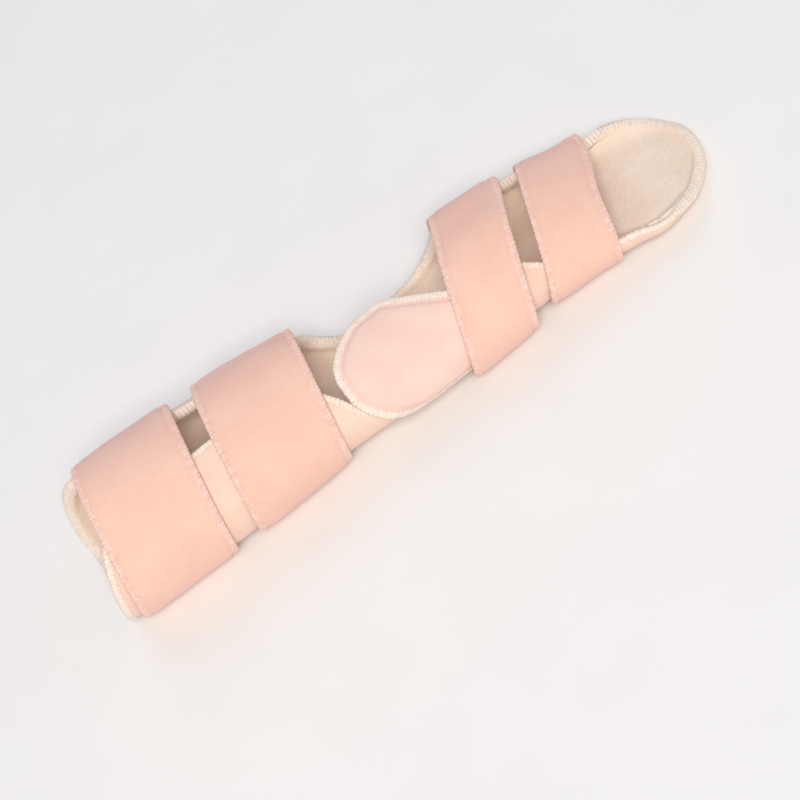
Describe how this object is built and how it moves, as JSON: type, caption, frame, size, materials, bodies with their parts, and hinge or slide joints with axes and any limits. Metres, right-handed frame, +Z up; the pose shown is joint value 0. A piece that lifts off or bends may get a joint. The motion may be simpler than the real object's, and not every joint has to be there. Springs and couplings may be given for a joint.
{
  "type": "wrist splint",
  "caption": "Long padded trough splint that holds the wrist and fingers level, with a plush inside, a round fingertip pan, wide cloth straps round forearm and hand, and a flap over the wrist.",
  "frame": {"origin": "middle of the bounding box, on the surface it rests on", "axes": "+X along the trough towards the fingertips, +Y towards the far side, +Z up from the surface"},
  "size_m": [0.3732, 0.0961, 0.0735],
  "materials": {
    "cover_knit": "matte",
    "plush": "matte",
    "strap_knit": "matte",
    "flap_knit": "matte"
  },
  "bodies": {
    "root": {"outer_cover": "cover_knit", "lining": "plush", "forearm_strap": "strap_knit", "wrist_strap": "strap_knit", "palm_strap": "strap_knit", "finger_strap": "strap_knit", "hand_flap": "flap_knit"}
  },
  "joints": []
}
